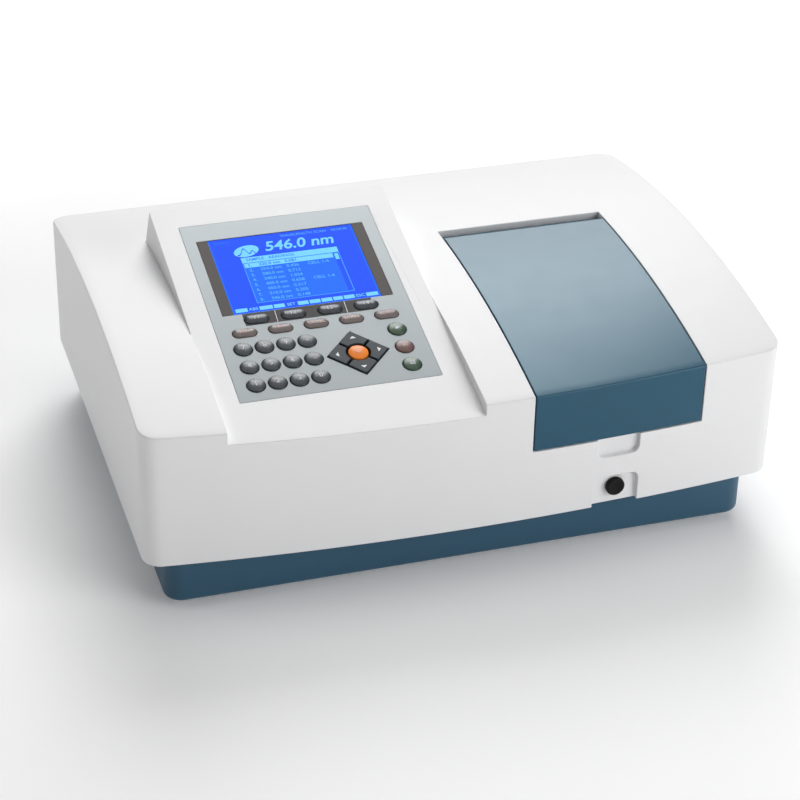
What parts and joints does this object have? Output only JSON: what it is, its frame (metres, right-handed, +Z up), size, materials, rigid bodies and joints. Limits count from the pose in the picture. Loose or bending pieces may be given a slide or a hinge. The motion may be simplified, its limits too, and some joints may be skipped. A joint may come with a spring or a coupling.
{
  "type": "spectrophotometer",
  "caption": "Bench spectrophotometer with a tilted keypad and screen console, a hinged sample lid, a pull-rod cell changer and a dark base tray.",
  "frame": {"origin": "centre of the footprint, on the surface that the feet stand on", "axes": "+X to the instrument's right seen from the front, +Y to its back, +Z up"},
  "size_m": [0.53, 0.403, 0.22],
  "materials": {
    "cover": "fine satin moulding, white",
    "base": "fine texture, dark slate blue",
    "lid": "satin, dark slate blue",
    "panel": "satin silver-grey printed film",
    "screen_glass": "clear window with a dark printed frame",
    "display": "lit blue graphic display",
    "dark_key": "domed, dark grey",
    "mode_key": "domed, brownish grey",
    "green_key": "domed, dark green",
    "brown_key": "domed, red-brown",
    "orange_key": "domed, orange",
    "black_plastic": "matt black",
    "black_anodised": "black anodised",
    "knob": "black",
    "steel": "plated",
    "casting": "sand cast, bare",
    "board": "green solder mask",
    "lamp_glass": "clear quartz",
    "rear_panel": "dark grey powder coat",
    "foot_rubber": "matt black"
  },
  "bodies": {
    "housing": {"upper_cover": "cover", "base_tray": "base", "foot_front_left": "foot_rubber", "foot_front_right": "foot_rubber", "foot_rear_left": "foot_rubber", "foot_rear_right": "foot_rubber", "keypad_panel": "panel", "screen_window": "screen_glass", "display_module": "display", "keypad_board": "board", "sample_chamber": "black_plastic", "lid_hinge_pin": "steel", "lamp_house": "casting", "tungsten_lamp": "lamp_glass", "deuterium_lamp": "lamp_glass", "monochromator_housing": "casting", "detector_housing": "casting", "main_board": "board", "power_supply": "steel", "rear_panel": "rear_panel", "fan_frame": "black_plastic", "power_inlet": "black_plastic", "serial_port": "steel"},
    "lid": {"compartment_lid": "lid"},
    "cell_changer": {"cell_carriage": "black_anodised", "pull_rod": "steel", "pull_knob": "knob"},
    "grating": {"grating_turntable": "steel"},
    "filters": {"filter_wheel": "black_anodised"},
    "fan": {"fan_rotor": "black_plastic"},
    "rocker": {"power_rocker": "black_plastic"},
    "soft_key_1": {"soft_key_1": "dark_key"},
    "soft_key_2": {"soft_key_2": "dark_key"},
    "soft_key_3": {"soft_key_3": "dark_key"},
    "soft_key_4": {"soft_key_4": "dark_key"},
    "mode_key_1": {"mode_key_1": "mode_key"},
    "mode_key_2": {"mode_key_2": "mode_key"},
    "mode_key_3": {"mode_key_3": "mode_key"},
    "mode_key_4": {"mode_key_4": "mode_key"},
    "mode_key_5": {"mode_key_5": "mode_key"},
    "number_key_1": {"number_key_1": "dark_key"},
    "number_key_2": {"number_key_2": "dark_key"},
    "number_key_3": {"number_key_3": "dark_key"},
    "number_key_4": {"number_key_4": "dark_key"},
    "number_key_5": {"number_key_5": "dark_key"},
    "number_key_6": {"number_key_6": "dark_key"},
    "number_key_7": {"number_key_7": "dark_key"},
    "number_key_8": {"number_key_8": "dark_key"},
    "number_key_9": {"number_key_9": "dark_key"},
    "number_key_10": {"number_key_10": "dark_key"},
    "number_key_11": {"number_key_11": "dark_key"},
    "number_key_12": {"number_key_12": "dark_key"},
    "start_key": {"start_key": "green_key"},
    "return_key": {"return_key": "brown_key"},
    "print_key": {"print_key": "green_key"},
    "enter_key": {"enter_key": "orange_key"},
    "up_key": {"up_key": "dark_key"},
    "left_key": {"left_key": "dark_key"},
    "down_key": {"down_key": "dark_key"},
    "right_key": {"right_key": "dark_key"}
  },
  "joints": [
    {"name": "lid_hinge", "type": "hinge", "parent": "housing", "child": "lid", "pos_m": [0.12065, 0.0435, 0.1783], "axis": [-1, 0, 0], "range_deg": [0, 76]},
    {"name": "cell_changer_slide", "type": "slide", "parent": "housing", "child": "cell_changer", "axis": [0, -1, 0], "range_m": [0, 0.045]},
    {"name": "grating_turn", "type": "hinge", "parent": "housing", "child": "grating", "pos_m": [-0.085, -0.0205, 0.068], "axis": [0, 0, 1], "range_deg": [-35, 35]},
    {"name": "filter_wheel_turn", "type": "hinge", "parent": "housing", "child": "filters", "pos_m": [-0.14, 0.0945, 0.093], "axis": [1, 0, 0], "continuous": true},
    {"name": "fan_spin", "type": "hinge", "parent": "housing", "child": "fan", "pos_m": [-0.16, 0.1915, 0.1], "axis": [0, 1, 0], "continuous": true},
    {"name": "power_rocker_tip", "type": "hinge", "parent": "housing", "child": "rocker", "pos_m": [0.165, 0.1967, 0.112], "axis": [-1, 0, 0], "range_deg": [0, 16]},
    {"name": "soft_key_1_press", "type": "slide", "parent": "housing", "child": "soft_key_1", "axis": [0, 0.2187, -0.9758], "range_m": [0, 0.0008], "stiffness_N_per_m": 1000},
    {"name": "soft_key_2_press", "type": "slide", "parent": "housing", "child": "soft_key_2", "axis": [0, 0.2187, -0.9758], "range_m": [0, 0.0008], "stiffness_N_per_m": 1000},
    {"name": "soft_key_3_press", "type": "slide", "parent": "housing", "child": "soft_key_3", "axis": [0, 0.2187, -0.9758], "range_m": [0, 0.0008], "stiffness_N_per_m": 1000},
    {"name": "soft_key_4_press", "type": "slide", "parent": "housing", "child": "soft_key_4", "axis": [0, 0.2187, -0.9758], "range_m": [0, 0.0008], "stiffness_N_per_m": 1000},
    {"name": "mode_key_1_press", "type": "slide", "parent": "housing", "child": "mode_key_1", "axis": [0, 0.2187, -0.9758], "range_m": [0, 0.0008], "stiffness_N_per_m": 1000},
    {"name": "mode_key_2_press", "type": "slide", "parent": "housing", "child": "mode_key_2", "axis": [0, 0.2187, -0.9758], "range_m": [0, 0.0008], "stiffness_N_per_m": 1000},
    {"name": "mode_key_3_press", "type": "slide", "parent": "housing", "child": "mode_key_3", "axis": [0, 0.2187, -0.9758], "range_m": [0, 0.0008], "stiffness_N_per_m": 1000},
    {"name": "mode_key_4_press", "type": "slide", "parent": "housing", "child": "mode_key_4", "axis": [0, 0.2187, -0.9758], "range_m": [0, 0.0008], "stiffness_N_per_m": 1000},
    {"name": "mode_key_5_press", "type": "slide", "parent": "housing", "child": "mode_key_5", "axis": [0, 0.2187, -0.9758], "range_m": [0, 0.0008], "stiffness_N_per_m": 1000},
    {"name": "number_key_1_press", "type": "slide", "parent": "housing", "child": "number_key_1", "axis": [0, 0.2187, -0.9758], "range_m": [0, 0.0008], "stiffness_N_per_m": 1000},
    {"name": "number_key_2_press", "type": "slide", "parent": "housing", "child": "number_key_2", "axis": [0, 0.2187, -0.9758], "range_m": [0, 0.0008], "stiffness_N_per_m": 1000},
    {"name": "number_key_3_press", "type": "slide", "parent": "housing", "child": "number_key_3", "axis": [0, 0.2187, -0.9758], "range_m": [0, 0.0008], "stiffness_N_per_m": 1000},
    {"name": "number_key_4_press", "type": "slide", "parent": "housing", "child": "number_key_4", "axis": [0, 0.2187, -0.9758], "range_m": [0, 0.0008], "stiffness_N_per_m": 1000},
    {"name": "number_key_5_press", "type": "slide", "parent": "housing", "child": "number_key_5", "axis": [0, 0.2187, -0.9758], "range_m": [0, 0.0008], "stiffness_N_per_m": 1000},
    {"name": "number_key_6_press", "type": "slide", "parent": "housing", "child": "number_key_6", "axis": [0, 0.2187, -0.9758], "range_m": [0, 0.0008], "stiffness_N_per_m": 1000},
    {"name": "number_key_7_press", "type": "slide", "parent": "housing", "child": "number_key_7", "axis": [0, 0.2187, -0.9758], "range_m": [0, 0.0008], "stiffness_N_per_m": 1000},
    {"name": "number_key_8_press", "type": "slide", "parent": "housing", "child": "number_key_8", "axis": [0, 0.2187, -0.9758], "range_m": [0, 0.0008], "stiffness_N_per_m": 1000},
    {"name": "number_key_9_press", "type": "slide", "parent": "housing", "child": "number_key_9", "axis": [0, 0.2187, -0.9758], "range_m": [0, 0.0008], "stiffness_N_per_m": 1000},
    {"name": "number_key_10_press", "type": "slide", "parent": "housing", "child": "number_key_10", "axis": [0, 0.2187, -0.9758], "range_m": [0, 0.0008], "stiffness_N_per_m": 1000},
    {"name": "number_key_11_press", "type": "slide", "parent": "housing", "child": "number_key_11", "axis": [0, 0.2187, -0.9758], "range_m": [0, 0.0008], "stiffness_N_per_m": 1000},
    {"name": "number_key_12_press", "type": "slide", "parent": "housing", "child": "number_key_12", "axis": [0, 0.2187, -0.9758], "range_m": [0, 0.0008], "stiffness_N_per_m": 1000},
    {"name": "start_key_press", "type": "slide", "parent": "housing", "child": "start_key", "axis": [0, 0.2187, -0.9758], "range_m": [0, 0.0008], "stiffness_N_per_m": 1000},
    {"name": "return_key_press", "type": "slide", "parent": "housing", "child": "return_key", "axis": [0, 0.2187, -0.9758], "range_m": [0, 0.0008], "stiffness_N_per_m": 1000},
    {"name": "print_key_press", "type": "slide", "parent": "housing", "child": "print_key", "axis": [0, 0.2187, -0.9758], "range_m": [0, 0.0008], "stiffness_N_per_m": 1000},
    {"name": "enter_key_press", "type": "slide", "parent": "housing", "child": "enter_key", "axis": [0, 0.2187, -0.9758], "range_m": [0, 0.0008], "stiffness_N_per_m": 1000},
    {"name": "up_key_press", "type": "slide", "parent": "housing", "child": "up_key", "axis": [0, 0.2187, -0.9758], "range_m": [0, 0.0008], "stiffness_N_per_m": 1000},
    {"name": "left_key_press", "type": "slide", "parent": "housing", "child": "left_key", "axis": [0, 0.2187, -0.9758], "range_m": [0, 0.0008], "stiffness_N_per_m": 1000},
    {"name": "down_key_press", "type": "slide", "parent": "housing", "child": "down_key", "axis": [0, 0.2187, -0.9758], "range_m": [0, 0.0008], "stiffness_N_per_m": 1000},
    {"name": "right_key_press", "type": "slide", "parent": "housing", "child": "right_key", "axis": [0, 0.2187, -0.9758], "range_m": [0, 0.0008], "stiffness_N_per_m": 1000}
  ]
}
